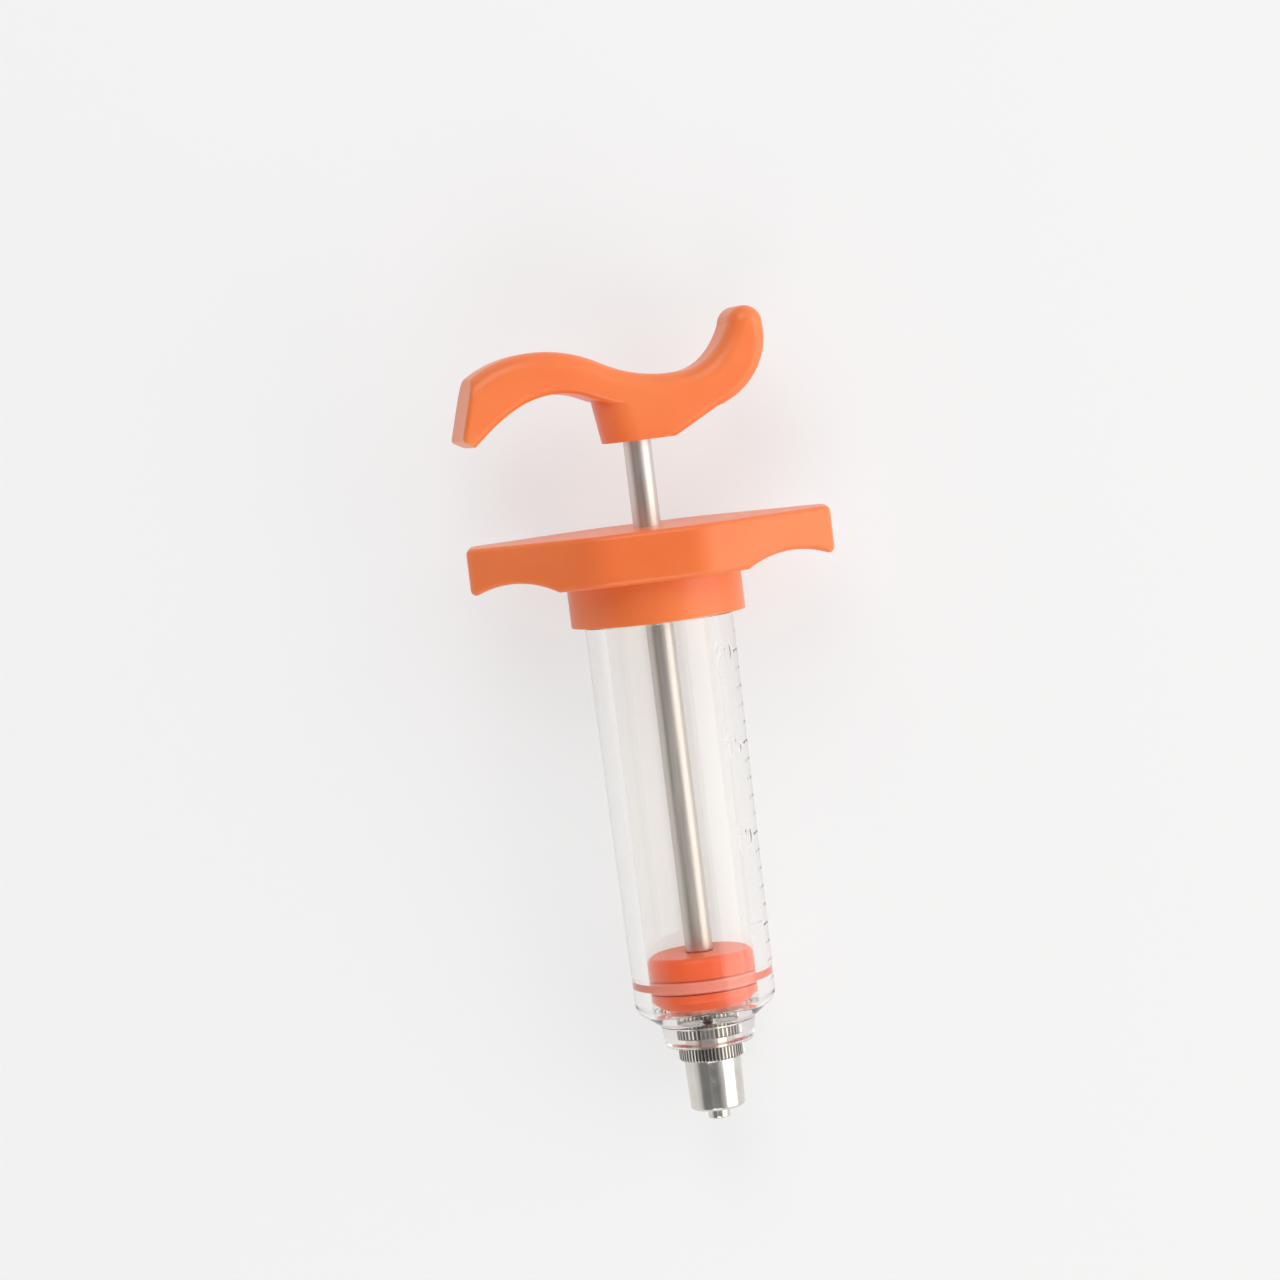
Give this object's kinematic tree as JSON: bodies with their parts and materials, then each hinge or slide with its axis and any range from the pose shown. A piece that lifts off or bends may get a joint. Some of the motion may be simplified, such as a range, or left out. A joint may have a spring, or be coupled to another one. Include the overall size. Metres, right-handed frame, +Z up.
{
  "type": "luer lock syringe",
  "caption": "Reusable syringe with a clear graduated barrel, a winged screw cap, an S-shaped palm handle on a steel rod and a metal male luer lock with a knurled ring.",
  "frame": {"origin": "middle of the bounding box, on the floor that the syringe lies on", "axes": "+X along the floor towards the luer tip, +Y out along one finger wing, +Z up; the syringe's own axis leans 4.2 degrees from X with the handle end raised"},
  "size_m": [0.1456, 0.0655, 0.0374],
  "materials": {
    "clear_plastic": "clear, polished",
    "orange_plastic": "satin, slightly translucent",
    "nickel": "bright nickel plate",
    "rod_steel": "ground, with fine scratches",
    "silicone": "translucent silicone"
  },
  "bodies": {
    "barrel": {"barrel": "clear_plastic", "luer_cone": "nickel", "lock_collar": "nickel"},
    "cap": {"cap": "orange_plastic"},
    "ring": {"piston_ring": "silicone"},
    "plunger": {"piston": "orange_plastic", "plunger_rod": "rod_steel", "handle": "orange_plastic"}
  },
  "joints": [
    {"name": "plunger_slide", "type": "slide", "parent": "barrel", "child": "ring", "axis": [-0.9973, 0, 0.0737], "range_m": [0, 0.06695]},
    {"name": "plunger_turn", "type": "hinge", "parent": "ring", "child": "plunger", "pos_m": [0.05146, 0, 0.01266], "axis": [-0.9973, 0, 0.0737], "continuous": true},
    {"name": "cap_screw", "type": "hinge", "parent": "barrel", "child": "cap", "pos_m": [-0.02433, 0, 0.01826], "axis": [-0.9973, 0, 0.0737], "range_deg": [0, 540]}
  ]
}
